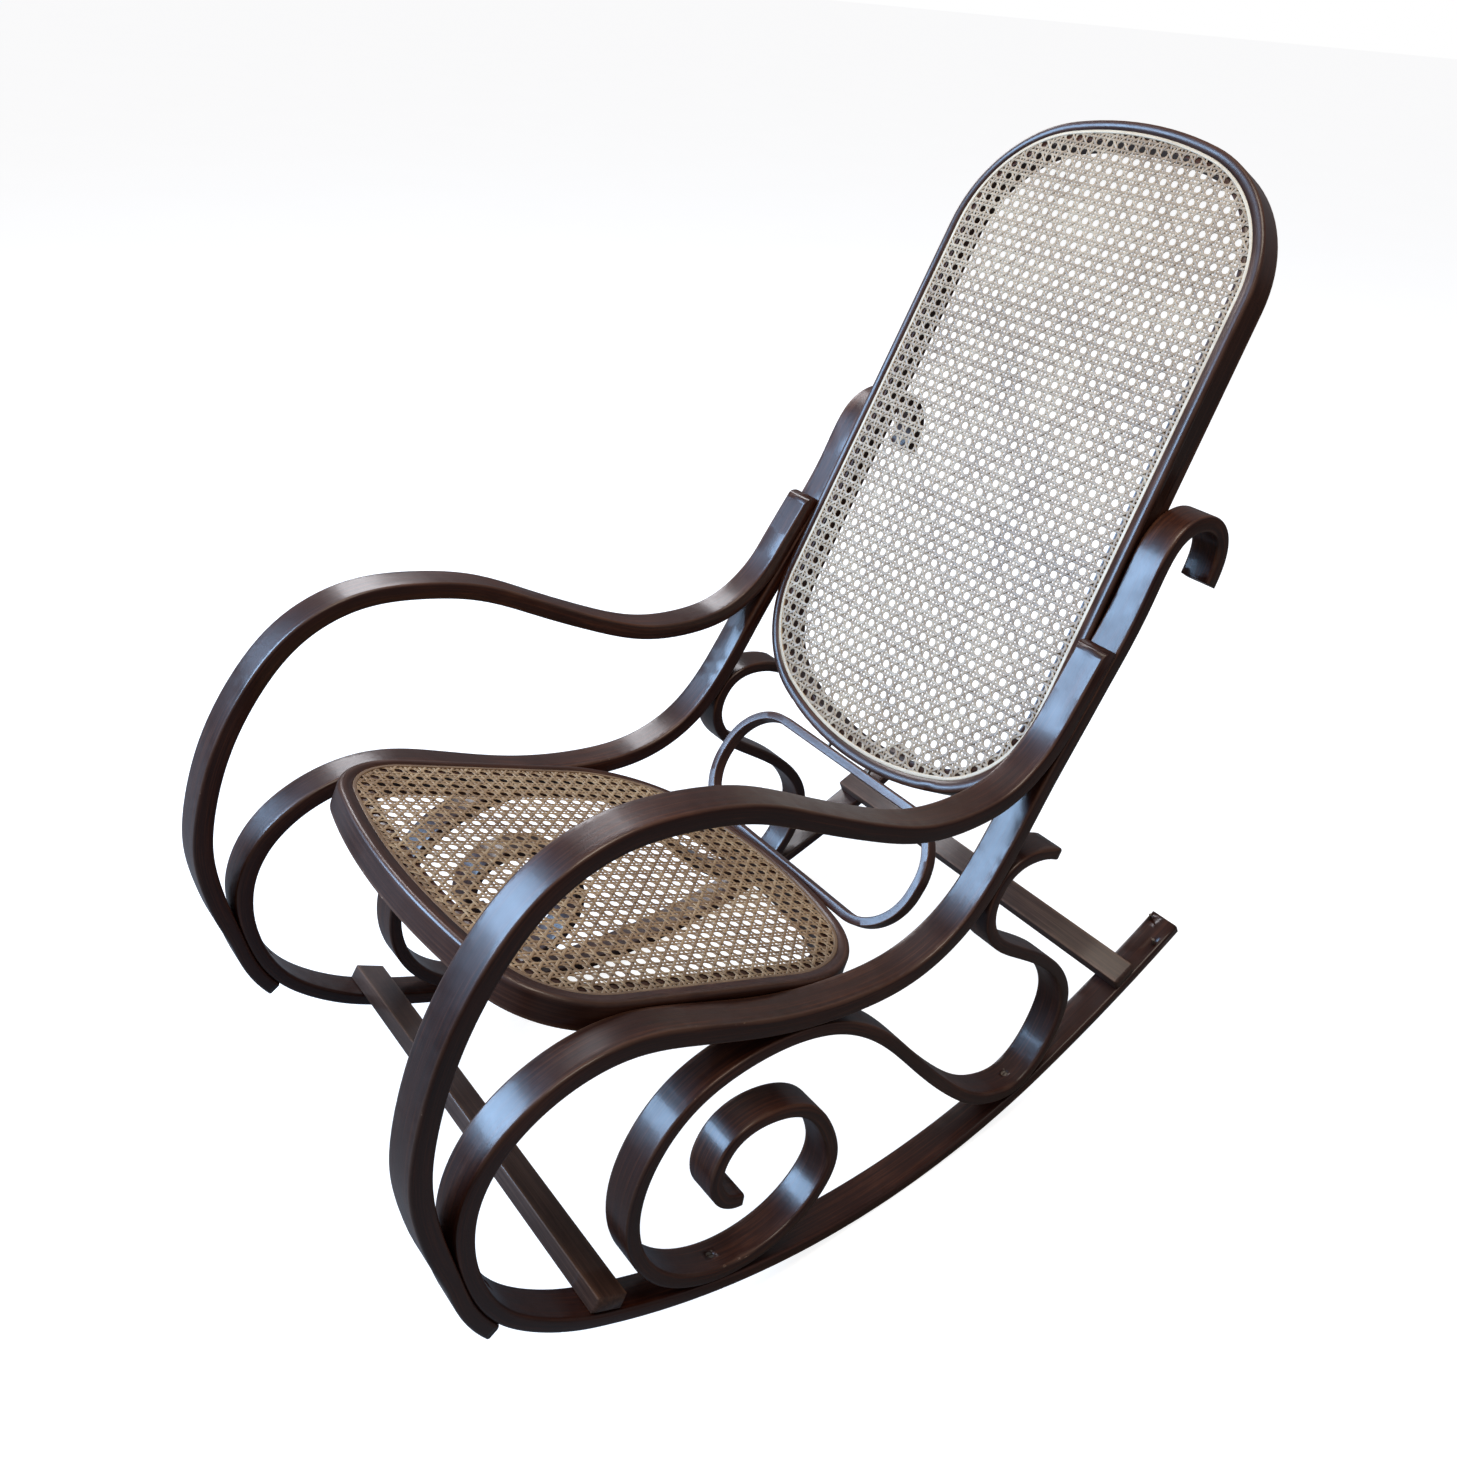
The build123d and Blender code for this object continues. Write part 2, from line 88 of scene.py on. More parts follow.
# ------------------------------------------------------------------ centre lines
def smooth_line(points, steps=14):
    """Smooth line through a few points."""
    p = np.array(points, float)
    p = np.vstack([2 * p[0] - p[1], p, 2 * p[-1] - p[-2]])
    out = []
    for i in range(1, len(p) - 2):
        a, b, c, d = p[i - 1], p[i], p[i + 1], p[i + 2]
        for t in np.linspace(0, 1, steps, endpoint=False):
            out.append(0.5 * (2 * b + (c - a) * t + (2 * a - 5 * b + 4 * c - d) * t ** 2
                              + (3 * b - a - 3 * c + d) * t ** 3))
    out.append(p[-2])
    return np.array(out)


def arc_points(centre, radius, first, last, steps):
    """Points of an arc, from one angle to another about its centre."""
    return [(centre[0] + radius * math.sin(math.radians(a)),
             centre[1] - radius * math.cos(math.radians(a)))
            for a in np.linspace(first, last, steps)]


TAIL_START = math.radians(TAIL_ANGLE)
TAIL_REACH = TAIL_RADIUS - RUNNER_RADIUS
TAIL_CENTRE = (ARC[0] - TAIL_REACH * math.sin(TAIL_START), ARC[1] + TAIL_REACH * math.cos(TAIL_START))
ROCKER_LINE = smooth_line(
    [(372, 682), (377, 722), (347, 752), (303, 745), (273, 700), (250, 627), (186, 484),
     (154, 405), (112, 334), (58, 297), (-20, 283), (-110, 288), (-200, 307), (-268, 316),
     (-328, 299), (-374, 254), (-386, 205), (-373, 150), (-340, 97), (-300, 68)]
    + arc_points(ARC, RUNNER_RADIUS, -18.2, TAIL_ANGLE, 24)
    + arc_points(TAIL_CENTRE, TAIL_RADIUS, 29.4, TAIL_END, 6))
ARM_LINE = smooth_line(
    [(226.7, 619), (189.1, 535), (165, 499), (131, 471), (82, 455), (20, 452), (-50, 467),
     (-120, 489), (-190, 510), (-254, 515), (-315, 507), (-368, 475), (-405, 418),
     (-424, 360), (-431, 298), (-428, 252), (-416.5, 213), (-402.5, 180), (-386, 148),
     (-377, 127), (-365, 106), (-347, 85)])
SCROLL_LINE = smooth_line(
    [(-107, 104), (-130, 113), (-143, 140), (-130, 175), (-90, 187), (-45, 174), (-14, 140),
     (1, 98), (-20, 55), (-70, 28.2), (-116, 25.7), (-166, 42.5), (-207, 80), (-227, 130),
     (-222, 185), (-190, 234), (-140, 259.5), (-83, 268.1), (-30, 260.6), (35, 227),
     (95, 177), (165, 121), (215, 93), (247, 85.5), (272, 86.5), (300, 105), (318, 138),
     (323, 184), (300, 223), (250, 258), (205, 279), (167, 302), (149.5, 330), (151.2, 360),
     (164.3, 380), (190, 391), (233, 388)])


class Ring:
    """Plane and outline of a ring: straight sides and an arch of two radii at each end."""

    def __init__(self, centre, slope, half, bottom, bottom_radii, top, top_radii):
        turn = math.radians(slope)
        self.centre = np.array([0.0, *centre])
        self.along = np.array([0.0, math.cos(turn), math.sin(turn)])
        self.normal = np.array([0.0, -math.sin(turn), math.cos(turn)])
        self.half = half
        self.ends = ((top, top_radii, 1), (-bottom, bottom_radii, -1))

    def outline(self, inset, steps=16):
        """Closed outline, anticlockwise, with corners and crowns as arcs."""
        points = []
        for end, (corner, crown), up in self.ends:
            angle = math.acos((self.half - corner) / (crown - corner))
            middle = self.half - corner
            knee = end - crown + (crown - corner) * math.sin(angle)
            r = corner - inset
            big = crown - inset
            side = [(middle + r * math.cos(a), knee + r * math.sin(a))
                    for a in np.linspace(0, angle, steps)]
            top = [(big * math.cos(a), end - crown + big * math.sin(a))
                   for a in np.linspace(angle, math.pi - angle, 2 * steps)[1:-1]]
            other = [(-x, y) for x, y in reversed(side)]
            points += [(x * up, y * up) for x, y in side + top + other]
        return np.array(points)

    def at(self, x, y, z=0.0):
        """Points of the ring's plane in the standing chair, in metres."""
        return (standing(self.centre) + np.outer(x, [1, 0, 0]) * MM
                + np.outer(y, turned(self.along)) * MM
                + np.outer(np.broadcast_to(z, np.shape(x)), turned(self.normal)) * MM)


SEAT = Ring((-147.2, 311.6), -10.6, INNER, -214.7, (92, 720), 243, (140, 450))
BACK = Ring((264.9, 726.6), 72.7, INNER, -360, (140, 380), 436, (160, 430))
LUMBAR = Ring((122.8, 320.9), 62.9, 176.5, -70, (66, 4000), 70, (66, 4000))


# --------------------------------------------------------------- grain coordinates
def lay_grain(obj, line, across, half_across, half_through):
    """Store for each vertex how far along, across and through a bent strip it lies."""
    mesh = obj.data
    co = np.empty(len(mesh.vertices) * 3)
    mesh.vertices.foreach_get("co", co)
    world = np.array(obj.matrix_world)
    co = co.reshape(-1, 3) @ world[:3, :3].T + world[:3, 3]
    a, b = line[:-1], line[1:]
    step = b - a
    length = np.linalg.norm(step, axis=1)
    run = np.concatenate([[0], np.cumsum(length)])
    best = np.full(len(co), 1e9)
    s = np.zeros(len(co))
    through = np.zeros(len(co))
    flat = co - np.outer((co - line[0]) @ across, across)
    base = a - np.outer((a - line[0]) @ across, across)
    for i in range(len(a)):
        d = step[i] / length[i]
        t = np.clip((flat - base[i]) @ d, 0, length[i])
        gap = flat - base[i] - np.outer(t, d)
        dist = np.linalg.norm(gap, axis=1)
        closer = dist < best
        best[closer] = dist[closer]
        s[closer] = run[i] + t[closer]
        through[closer] = (gap @ np.cross(across, d))[closer]
    wide = (co - line[0]) @ across
    grain = np.stack([s, wide, through], axis=1)
    edge = np.stack([wide / (half_across * MM), through / (half_through * MM), 0 * s], axis=1)
    for name, values in (("grain", grain), ("edge", edge)):
        layer = mesh.attributes.new(name, "FLOAT_VECTOR", "POINT")
        layer.data.foreach_set("vector", values.astype(np.float32).ravel())


# -------------------------------------------------------------------- material kit
class Nodes:
    """Short way to write a shader tree."""

    def __init__(self, name):
        self.mat = bpy.data.materials.new(name)
        self.mat.use_nodes = True
        self.tree = self.mat.node_tree
        self.tree.nodes.clear()

    def put(self, socket, value):
        if isinstance(value, bpy.types.NodeSocket):
            self.tree.links.new(value, socket)
        else:
            socket.default_value = value

    def math(self, op, a, b=0.0, c=0.0):
        node = self.tree.nodes.new("ShaderNodeMath")
        node.operation = op
        for socket, value in zip(node.inputs, (a, b, c)):
            self.put(socket, value)
        return node.outputs[0]

    def noise(self, vector, scale, detail=4.0, rough=0.55, distortion=0.0):
        node = self.tree.nodes.new("ShaderNodeTexNoise")
        self.put(node.inputs["Vector"], vector)
        self.put(node.inputs["Scale"], scale)
        self.put(node.inputs["Detail"], detail)
        self.put(node.inputs["Roughness"], rough)
        self.put(node.inputs["Distortion"], distortion)
        return node.outputs["Fac"]

    def scaled(self, vector, scale):
        node = self.tree.nodes.new("ShaderNodeVectorMath")
        node.operation = "MULTIPLY"
        self.put(node.inputs[0], vector)
        self.put(node.inputs[1], scale)
        return node.outputs[0]

    def ramp(self, value, stops):
        node = self.tree.nodes.new("ShaderNodeValToRGB")
        band = node.color_ramp
        while len(band.elements) < len(stops):
            band.elements.new(0.5)
        for element, (at, color) in zip(band.elements, stops):
            element.position = at
            element.color = (*color, 1)
        self.put(node.inputs[0], value)
        return node.outputs[0]

    def span(self, value, low, high):
        """0 below low, 1 above high."""
        node = self.tree.nodes.new("ShaderNodeMapRange")
        node.clamp = True
        for socket, v in zip(node.inputs, (value, low, high)):
            self.put(socket, v)
        return node.outputs[0]

    def mix(self, factor, a, b):
        node = self.tree.nodes.new("ShaderNodeMix")
        node.data_type = "RGBA"
        self.put(node.inputs[0], factor)
        self.put(node.inputs[6], a if not isinstance(a, tuple) else (*a, 1))
        self.put(node.inputs[7], b if not isinstance(b, tuple) else (*b, 1))
        return node.outputs[2]

    def attribute(self, name):
        node = self.tree.nodes.new("ShaderNodeAttribute")
        node.attribute_name = name
        return node.outputs["Vector"]

    def parts(self, vector):
        node = self.tree.nodes.new("ShaderNodeSeparateXYZ")
        self.put(node.inputs[0], vector)
        return node.outputs

    def position(self):
        return self.tree.nodes.new("ShaderNodeTexCoord").outputs["Object"]

    def finish(self, color, roughness, height=None, strength=0.2, distance=0.0005, **sockets):
        bsdf = self.tree.nodes.new("ShaderNodeBsdfPrincipled")
        self.put(bsdf.inputs["Base Color"], color)
        self.put(bsdf.inputs["Roughness"], roughness)
        for name, value in sockets.items():
            self.put(bsdf.inputs[name.replace("_", " ")], value)
        if height is not None:
            bump = self.tree.nodes.new("ShaderNodeBump")
            self.put(bump.inputs["Strength"], strength)
            self.put(bump.inputs["Distance"], distance)
            self.put(bump.inputs["Height"], height)
            self.tree.links.new(bump.outputs[0], bsdf.inputs["Normal"])
        out = self.tree.nodes.new("ShaderNodeOutputMaterial")
        self.tree.links.new(bsdf.outputs[0], out.inputs[0])
        return self.mat


def lacquered_wood(name, dark, mid, light, wear=0.5, sheen=0.27):
    """Stained beech under satin lacquer: grain along the strip, worn arrises, dull patches."""
    n = Nodes(name)
    along = n.attribute("grain")
    edge = n.parts(n.attribute("edge"))
    place = n.position()
    streak = n.noise(n.scaled(along, (9, 420, 420)), 1.0, 6, 0.6, 0.3)
    fleck = n.noise(n.scaled(along, (70, 1500, 1500)), 1.0, 3, 0.7)
    cloud = n.noise(place, 7.0, 3)
    tone = n.math("MULTIPLY_ADD", streak, 0.62, n.math("MULTIPLY", cloud, 0.30))
    tone = n.math("MULTIPLY_ADD", fleck, 0.16, tone)
    color = n.ramp(tone, [(0.36, dark), (0.56, mid), (0.76, light)])
    corner = n.math("MULTIPLY", n.math("ABSOLUTE", edge[0]), n.math("ABSOLUTE", edge[1]))
    rub = n.span(n.math("MULTIPLY_ADD", n.noise(place, 26.0, 4), 0.26, corner), 0.90, 1.06)
    color = n.mix(n.math("MULTIPLY", rub, 0.55 * wear), color, (0.17, 0.085, 0.05))
    chips = n.noise(n.scaled(along, (160, 260, 260)), 1.0, 5, 0.7)
    spots = n.noise(place, 9.0, 2)
    chip = n.math("MULTIPLY", n.span(chips, 0.635, 0.66), n.span(corner, 0.80, 0.90))
    chip = n.math("MULTIPLY", chip, n.span(spots, 0.50, 0.60))
    color = n.mix(n.math("MULTIPLY", chip, 0.8 * wear), color, (0.42, 0.28, 0.19))
    dull = n.noise(place, 14.0, 5, 0.65)
    rough = n.math("MULTIPLY_ADD", n.span(dull, 0.35, 0.7), 0.16, sheen)
    rough = n.math("MULTIPLY_ADD", streak, 0.10, rough)
    height = n.math("MULTIPLY_ADD", fleck, 0.5, n.math("MULTIPLY", streak, 0.5))
    return n.finish(
        color, rough, height, 0.30, 0.0004,
        Coat_Weight=0.25, Coat_Roughness=0.18, Specular_IOR_Level=0.36)


def cane_material(name, dark, mid, light):
    """Split cane: glossy skin, fine fibres along each strand and strand-to-strand tone."""
    n = Nodes(name)
    strand = n.parts(n.attribute("strand"))
    place = n.position()
    fibre = n.noise(n.scaled(n.attribute("strand"), (30, 900, 2600)), 1.0, 3, 0.6)
    own = n.tree.nodes.new("ShaderNodeTexWhiteNoise")
    own.noise_dimensions = "1D"
    n.put(own.inputs["W"], strand[1])
    cloud = n.noise(place, 9.0, 4)
    tone = n.math("MULTIPLY_ADD", own.outputs[0], 0.30, n.math("MULTIPLY", cloud, 0.42))
    tone = n.math("MULTIPLY_ADD", fibre, 0.34, tone)
    color = n.ramp(tone, [(0.30, dark), (0.52, mid), (0.78, light)])
    rough = n.math("MULTIPLY_ADD", cloud, 0.25, 0.36)
    return n.finish(color, rough, fibre, 0.25, 0.0002, Specular_IOR_Level=0.45,
                    Coat_Weight=0.12, Coat_Roughness=0.3)


def steel_material():
    """Aged screw steel with small pits and a brown tinge."""
    n = Nodes("screw_steel")
    place = n.position()
    pits = n.noise(place, 900.0, 4, 0.7)
    tone = n.noise(place, 260.0, 2)
    color = n.ramp(tone, [(0.3, (0.14, 0.10, 0.07)), (0.7, (0.30, 0.26, 0.22))])
    rough = n.math("MULTIPLY_ADD", pits, 0.35, 0.25)
    return n.finish(color, rough, pits, 0.3, 0.0002, Metallic=1.0)


side_wood = lacquered_wood(
    "side_wood", (0.009, 0.0016, 0.0008), (0.032, 0.0072, 0.0030), (0.105, 0.030, 0.011),
    sheen=0.25)
frame_wood = lacquered_wood(
    "frame_wood", (0.016, 0.0045, 0.0026), (0.046, 0.0150, 0.0080), (0.105, 0.040, 0.021), wear=0.7)
bar_wood = lacquered_wood(
    "bar_wood", (0.022, 0.009, 0.006), (0.060, 0.028, 0.018), (0.12, 0.062, 0.040),
    wear=0.9, sheen=0.36)
ring_wood = lacquered_wood(
    "ring_wood", (0.020, 0.007, 0.0055), (0.065, 0.026, 0.019), (0.13, 0.060, 0.043), wear=0.5)
back_cane_look = cane_material(
    "back_cane", (0.20, 0.125, 0.070), (0.36, 0.25, 0.155), (0.52, 0.40, 0.27))
seat_cane_look = cane_material(
    "seat_cane", (0.13, 0.072, 0.036), (0.27, 0.17, 0.092), (0.47, 0.34, 0.20))
steel = steel_material()


def dress(obj, material):
    """Give a piece its material."""
    obj.data.materials.clear()
    obj.data.materials.append(material)
    return obj


# ------------------------------------------------------------- wood with its grain
def smooth_copy(node, name):
    """Copy of a CAD node's mesh, welded and shaded smooth except at its arrises."""
    obj = bpy.data.objects.new(name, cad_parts[node].data.copy())
    bpy.context.scene.collection.objects.link(obj)
    work = bmesh.new()
    work.from_mesh(obj.data)
    bmesh.ops.remove_doubles(work, verts=work.verts, dist=0.00002)
    work.to_mesh(obj.data)
    work.free()
    obj.data.shade_smooth()
    obj.data.set_sharp_from_angle(angle=math.radians(38))
    return obj


def wood_piece(node, line, across, half_across, half_through, material):
    """Shown copy of a wooden CAD node, with grain coordinates along its bend."""
    obj = smooth_copy(node, node + ".wood")
    lay_grain(obj, line, across, half_across, half_through)
    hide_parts(node)
    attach(obj, "root")
    return dress(obj, material)


def bent_strip(part, side, sign, line, half_thick):
    """A bent strip of one side frame."""
    route = np.array([standing((sign * MID, y, z)) for y, z in line])
    outward = np.array([1.0, 0, 0])
    wood_piece(part + "_" + side, route, outward, STRIP / 2, half_thick, side_wood)


for side, sign in (("left", 1), ("right", -1)):
    bent_strip("rocker", side, sign, ROCKER_LINE, ROCKER_HALF)
    bent_strip("arm", side, sign, ARM_LINE, ARM_HALF)
    bent_strip("scroll", side, sign, SCROLL_LINE, SCROLL_HALF)


def ring_line(ring, inset, depth):
    """Closed line inside a ring, at an inset from its outline and a depth below its face."""
    flat = ring.outline(inset)
    flat = np.vstack([flat, flat[:1]])
    return ring.at(flat[:, 0], flat[:, 1], depth)


def ring_piece(node, ring, half_depth, half_face, material):
    """A bent ring, with its grain round the middle of its section."""
    route = ring_line(ring, half_face, -half_depth)
    wood_piece(node, route, turned(ring.normal), half_depth, half_face, material)


ring_piece("seat_frame", SEAT, SEAT_HALF_DEPTH, SEAT_HALF_FACE, frame_wood)
ring_piece("back_frame", BACK, BACK_HALF_DEPTH, BACK_HALF_FACE, frame_wood)
ring_piece("lumbar_ring", LUMBAR, LUMBAR_HALF_DEPTH, LUMBAR_HALF_FACE, ring_wood)


def stretcher(node, centre, radius, angle):
    """A straight bar across the runners, at an angle about the arc's centre."""
    turn = math.radians(angle)
    up = np.array([-math.sin(turn), math.cos(turn)])
    middle = np.array(centre) - up * (radius - BAR_SINK - BAR_HALF_DEPTH)
    route = np.array([standing((x, *middle)) for x in (-262, 0, 262)])
    wood_piece(node, route, turned((0, *up)), BAR_HALF_DEPTH, BAR_HALF_FACE, bar_wood)


stretcher("front_stretcher", ARC, RUNNER_RADIUS, FRONT_BAR_ANGLE)
stretcher("rear_stretcher", TAIL_CENTRE, TAIL_RADIUS, REAR_BAR_ANGLE)

for node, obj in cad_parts.items():
    if node.endswith(("screws", "tacks")):
        dress(obj, steel)


# ------------------------------------------------------------------------ the weave
PITCH_CANE = 15.84
STRAND = 2.9
BETWEEN = 2.5
WEAVE_INSET = 16.5
WEAVE_DEPTH = -1.3
PAIR_RISE = 0.30
DIAGONAL_RISE = 0.75
SKIN_TOP = 0.20
SKIN_BOTTOM = -0.18
SHORTEST = 4


def chord(outline, point, way):
    """Where a straight line enters and leaves a convex outline."""
    a = outline
    b = np.roll(outline, -1, axis=0)
    n = np.array([-way[1], way[0]])
    da, db = (a - point) @ n, (b - point) @ n
    hit = (da > 0) != (db > 0)
    if hit.sum() < 2:
        return None
    share = da[hit] / (da[hit] - db[hit])
    t = (a[hit] + (b[hit] - a[hit]) * share[:, None] - point) @ way
    return t.min(), t.max()


def strands(ring, name, kinds, depth, look, node):
    """Woven strands as one mesh; each gives a point, a direction and its heights along it."""
    outline = ring.outline(WEAVE_INSET, steps=24)
    rng = np.random.default_rng(5)
    verts, faces, marks = [], [], []
    count = 0
    for number, (point, way, wave) in enumerate(kinds):
        ends = chord(outline, np.array(point), np.array(way))
        if ends is None or ends[1] - ends[0] < SHORTEST:
            continue
        stations = [t for t in wave if ends[0] < t[0] < ends[1]]
        if not stations:
            continue
        t = np.array([ends[0]] + [q[0] for q in stations] + [ends[1]])
        z = np.array([0.0] + [q[1] for q in stations] + [0.0])
        keep = np.concatenate([[True], np.diff(t) > 0.3])
        t, z = t[keep], z[keep]
        side = np.array([-way[1], way[0]])
        sway = 0.22 * np.sin(t / 61 + number * 1.7) + rng.normal(0, 0.07)
        middle = np.array(point) + np.outer(t, way) + np.outer(sway, side)
        width = STRAND * (1 + rng.normal(0, 0.04)) / 2
        lift = rng.normal(0, 0.05)
        crown = width * 0.62
        section = ((-width, SKIN_BOTTOM), (-crown, SKIN_TOP), (crown, SKIN_TOP), (width, SKIN_BOTTOM))
        rows = [middle + side * across for across, _ in section]
        high = [z + lift + rise for _, rise in section]
        pts = np.stack([ring.at(r[:, 0], r[:, 1], h + depth)
                        for r, h in zip(rows, high)], axis=1)
        m = len(t)
        verts.append(pts.reshape(-1, 3))
        mark = np.zeros((m, 4, 3))
        mark[:, :, 0] = t[:, None] * MM
        mark[:, :, 1] = number
        mark[:, :, 2] = np.array([s[0] for s in section])[None] * MM
        marks.append(mark.reshape(-1, 3))
        base = count + 4 * np.arange(m - 1)[:, None]
        ring4 = np.arange(4)
        quads = np.stack([base + ring4, base + (ring4 + 1) % 4,
                          base + 4 + (ring4 + 1) % 4, base + 4 + ring4], axis=2)
        faces.append(quads.reshape(-1, 4))
        faces.append(np.array([[count + 3, count + 2, count + 1, count],
                               [count + 4 * m - 4 + k for k in range(4)]]))
        count += 4 * m
    mesh = bpy.data.meshes.new(name)
    mesh.from_pydata(np.vstack(verts).tolist(), [], np.vstack(faces).tolist())
    layer = mesh.attributes.new("strand", "FLOAT_VECTOR", "POINT")
    layer.data.foreach_set("vector", np.vstack(marks).astype(np.float32).ravel())
    mesh.update()
    obj = bpy.data.objects.new(name, mesh)
    bpy.context.scene.collection.objects.link(obj)
    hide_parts(node)
    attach(obj, "root")
    return dress(obj, look)


def weave(ring, name, node, look, depth):
    """Six-way cane: pairs of uprights and rows, and two sets of diagonals round each hole."""
    reach_x = int(ring.half / PITCH_CANE) + 1
    low, high = -ring.ends[1][0], ring.ends[0][0]
    span = range(int(low / PITCH_CANE) - 1, int(high / PITCH_CANE) + 2)
    p, g = PITCH_CANE, BETWEEN
    up, down = PAIR_RISE, -PAIR_RISE
    uprights, rows, rising, falling = [], [], [], []
    for i in range(-reach_x, reach_x + 1):
        for s in (-1, 1):
            wave = []
            for j in span:
                wave += [(j * p - g, up * s), (j * p + g, down * s), ((j + 0.5) * p, 0.0)]
            uprights.append(((i * p + s * g, 0), (0, 1), wave))
    for j in span:
        for s in (-1, 1):
            wave = []
            for i in range(-reach_x, reach_x + 1):
                wave += [(i * p - g, down * s), (i * p + g, up * s), ((i + 0.5) * p, 0.0)]
            rows.append(((0, j * p + s * g), (1, 0), wave))
    r = math.sqrt(0.5)
    for k in range(-3 * len(span), 3 * len(span)):
        for way, group in (((r, r), rising), ((r, -r), falling)):
            start = ((k + 0.5) * p, 0)
            wave = []
            for m in range(-2 * len(span), 2 * len(span)):
                t = m * p * r
                height = DIAGONAL_RISE if (m % 2 == 0) == (way[1] > 0) else -DIAGONAL_RISE
                wave += [(t, height)]
            group.append((start, way, wave))
    strands(ring, name + ".uprights", uprights, depth, look, node)
    strands(ring, name + ".rows", rows, depth, look, node)
    strands(ring, name + ".rising", rising, depth, look, node)
    strands(ring, name + ".falling", falling, depth, look, node)


weave(BACK, "back_weave", "back_cane", back_cane_look, WEAVE_DEPTH)
weave(SEAT, "seat_weave", "seat_cane", seat_cane_look, WEAVE_DEPTH)


def spline_piece(node, ring, material):
    """The reed that holds a cane sheet in its groove."""
    obj = smooth_copy(node, node + ".reed")
    route = ring_line(ring, REED_INSET, REED_DEPTH)
    lay_grain(obj, route, turned(ring.normal), REED_HALF_DEPTH, REED_HALF_FACE)
    layer = obj.data.attributes.new("strand", "FLOAT_VECTOR", "POINT")
    values = np.empty(len(obj.data.vertices) * 3, np.float32)
    obj.data.attributes["grain"].data.foreach_get("vector", values)
    layer.data.foreach_set("vector", values)
    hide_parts(node)
    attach(obj, "root")
    return dress(obj, material)


back_reed = cane_material(
    "back_reed", (0.42, 0.30, 0.19), (0.60, 0.47, 0.32), (0.74, 0.62, 0.46))
seat_reed = cane_material(
    "seat_reed", (0.10, 0.055, 0.03), (0.17, 0.10, 0.055), (0.28, 0.18, 0.10))
spline_piece("back_spline", BACK, back_reed)
spline_piece("seat_spline", SEAT, seat_reed)


# ------------------------------------------------------------------ floor and light
def look_at(obj, target):
    """Turn a lamp towards a point."""
    obj.rotation_euler = (Vector(target) - obj.location).to_track_quat("-Z", "Y").to_euler()


def soft_light(name, place, size, power, color, target=(0, 0, 0.5)):
    """Large rectangular lamp aimed at the chair."""
    light = bpy.data.lights.new(name, "AREA")
    light.shape = "RECTANGLE"
    light.size, light.size_y = size
    light.energy = power
    light.color = color
    obj = bpy.data.objects.new(name, light)
    bpy.context.scene.collection.objects.link(obj)
    obj.location = place
    look_at(obj, target)


def camera_switch(tree, seen, lit, output):
    """One shader for what the camera sees and a dimmer one for the light on the chair."""
    ray = tree.nodes.new("ShaderNodeLightPath")
    mix = tree.nodes.new("ShaderNodeMixShader")
    tree.links.new(ray.outputs["Is Camera Ray"], mix.inputs[0])
    tree.links.new(lit, mix.inputs[1])
    tree.links.new(seen, mix.inputs[2])
    tree.links.new(mix.outputs[0], output)


def plain_shader(nodes, kind, color, strength=None):
    """A shader node that has only a colour, and a strength if it shines."""
    node = nodes.tree.nodes.new(kind)
    nodes.put(node.inputs[0], color)
    if strength is not None:
        nodes.put(node.inputs[1], strength)
    return node.outputs[0]


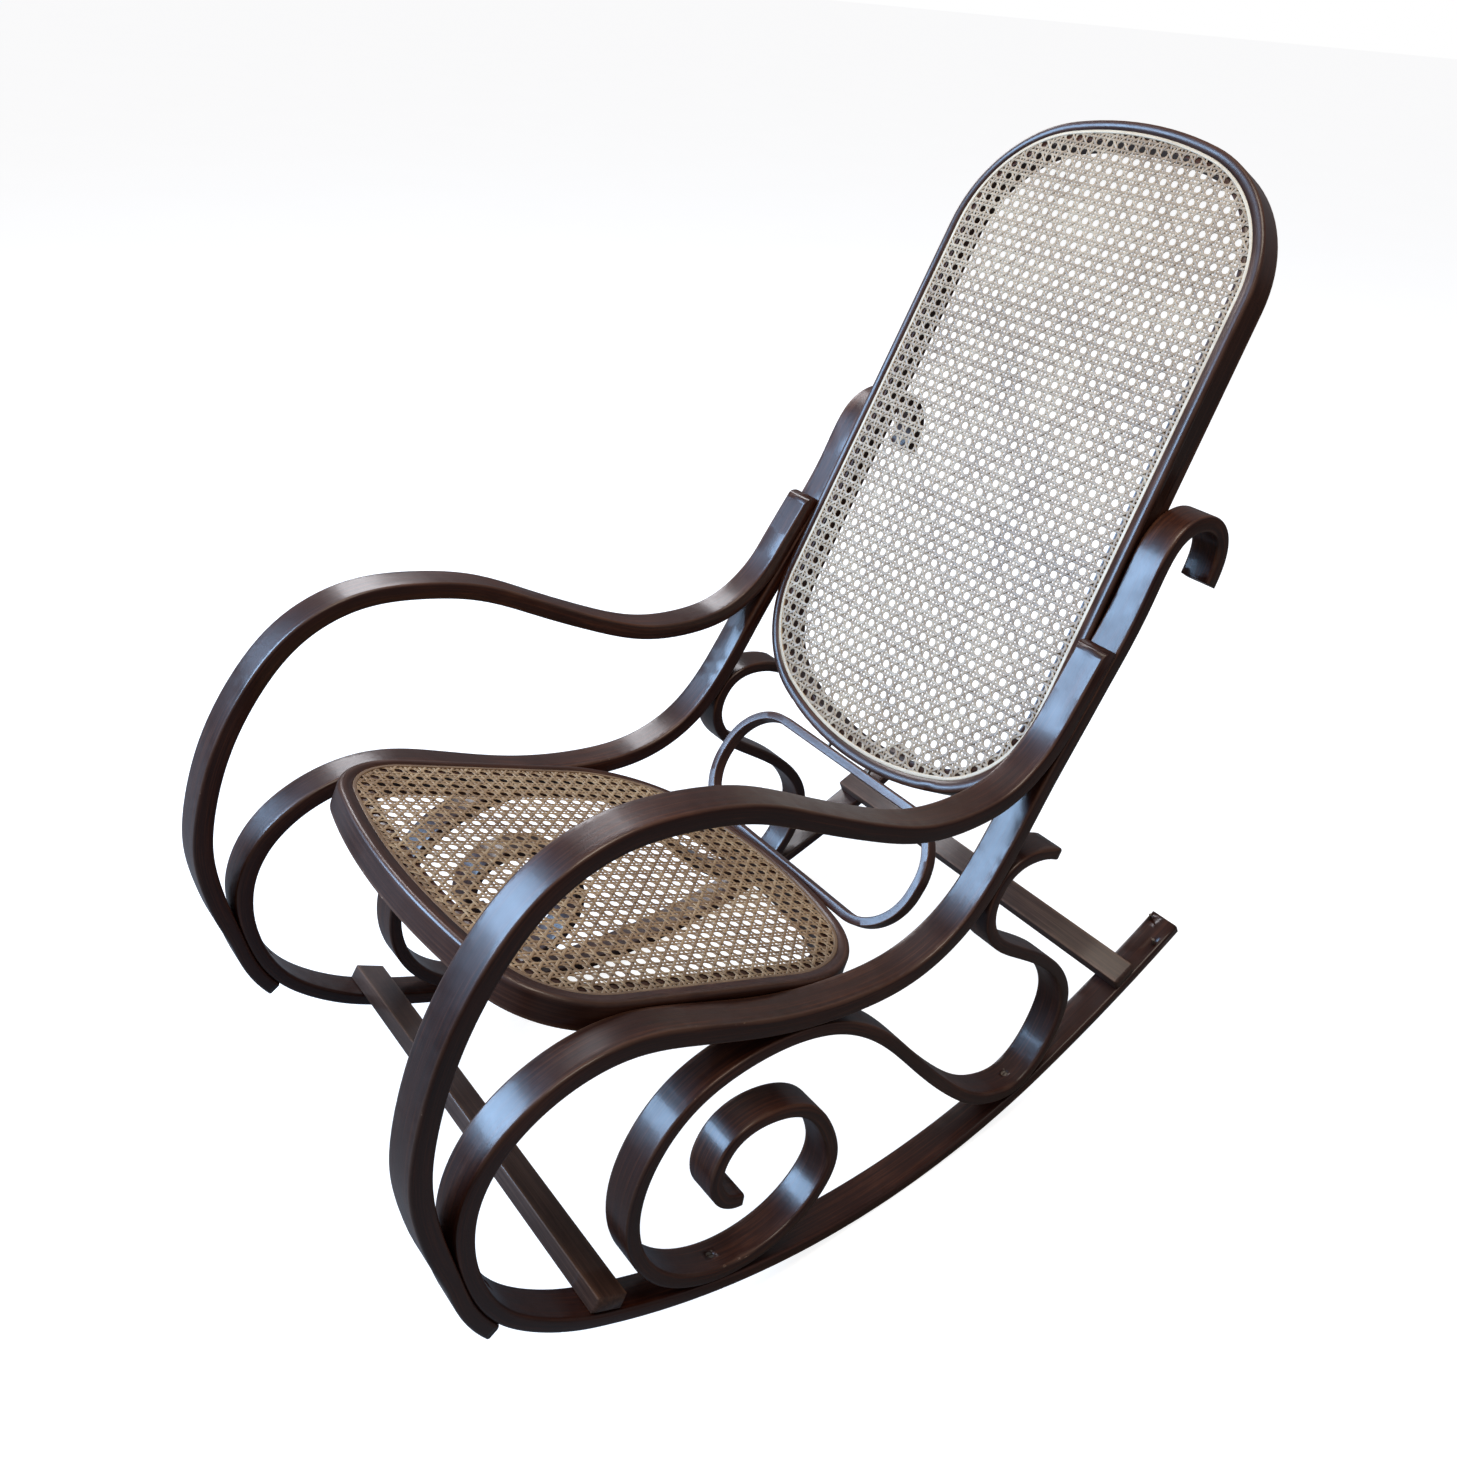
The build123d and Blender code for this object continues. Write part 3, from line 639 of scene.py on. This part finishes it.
def pale_floor(reach=90, below=-0.0005):
    """Wide floor, white to the camera, with the chair's shadow on it."""
    ground = bpy.data.meshes.new("floor")
    corners = [(-reach, -reach), (reach, -reach), (reach, reach), (-reach, reach)]
    ground.from_pydata([(x, y, below) for x, y in corners], [], [(0, 1, 2, 3)])
    floor = bpy.data.objects.new("floor", ground)
    bpy.context.scene.collection.objects.link(floor)
    n = Nodes("floor_white")
    mottle = n.noise(n.position(), 2.0, 3)
    pale = n.ramp(mottle, [(0.3, (0.43, 0.43, 0.44)), (0.7, (0.45, 0.45, 0.46))])
    dark = n.ramp(mottle, [(0.3, (0.17, 0.165, 0.16)), (0.7, (0.19, 0.185, 0.18))])
    both = n.tree.nodes.new("ShaderNodeAddShader")
    n.put(both.inputs[0], plain_shader(n, "ShaderNodeBsdfDiffuse", pale))
    n.put(both.inputs[1], plain_shader(n, "ShaderNodeEmission", (1, 1, 1, 1), 0.86))
    lit = plain_shader(n, "ShaderNodeBsdfDiffuse", dark)
    end = n.tree.nodes.new("ShaderNodeOutputMaterial")
    camera_switch(n.tree, both.outputs[0], lit, end.inputs[0])
    ground.materials.append(n.mat)


def studio_world():
    """White sky to the camera, and a dim even light on the chair."""
    world = bpy.data.worlds.new("studio")
    bpy.context.scene.world = world
    world.use_nodes = True
    tree = world.node_tree
    tree.nodes.clear()
    sky = tree.nodes.new("ShaderNodeBackground")
    sky.inputs[0].default_value = (1, 1, 1, 1)
    sky.inputs[1].default_value = 1.0
    room = tree.nodes.new("ShaderNodeBackground")
    room.inputs[0].default_value = (0.96, 0.95, 1.0, 1)
    room.inputs[1].default_value = 0.22
    end = tree.nodes.new("ShaderNodeOutputWorld")
    camera_switch(tree, sky.outputs[0], room.outputs[0], end.inputs[0])


pale_floor()
studio_world()
soft_light("window_front", (-1.7, -2.3, 2.0), (1.5, 1.5), 190, (0.42, 0.66, 1.0))
soft_light("window_left", (-2.9, 0.6, 2.4), (1.2, 1.2), 45, (0.95, 0.95, 1.0))
soft_light("overhead", (0.6, -0.2, 3.4), (1.6, 1.6), 55, (1.0, 0.88, 0.74))

# ---------------------------------------------------------------------------- camera
def place_camera():
    """Camera in front of the left side and above the seat, rolled, with a shifted lens."""
    camera = bpy.data.cameras.new("camera")
    camera.sensor_width = 36
    camera.lens = 33.37
    camera.shift_x = -0.1563
    camera.shift_y = -0.1473
    camera.clip_end = 50
    eye = bpy.data.objects.new("camera", camera)
    bpy.context.scene.collection.objects.link(eye)
    right = turned((0.68300, 0.69184, 0.23423))
    forward = turned((-0.65443, 0.72205, -0.22443))
    upward = np.cross(right, forward)
    spin = Matrix(np.array([right, upward, -forward]).T.tolist()).to_4x4()
    eye.matrix_world = Matrix.Translation(Vector(standing((995.9, -860, 1016)))) @ spin
    bpy.context.scene.camera = eye


place_camera()
view = bpy.context.scene.view_settings
view.view_transform = "Standard"
view.look = "None"
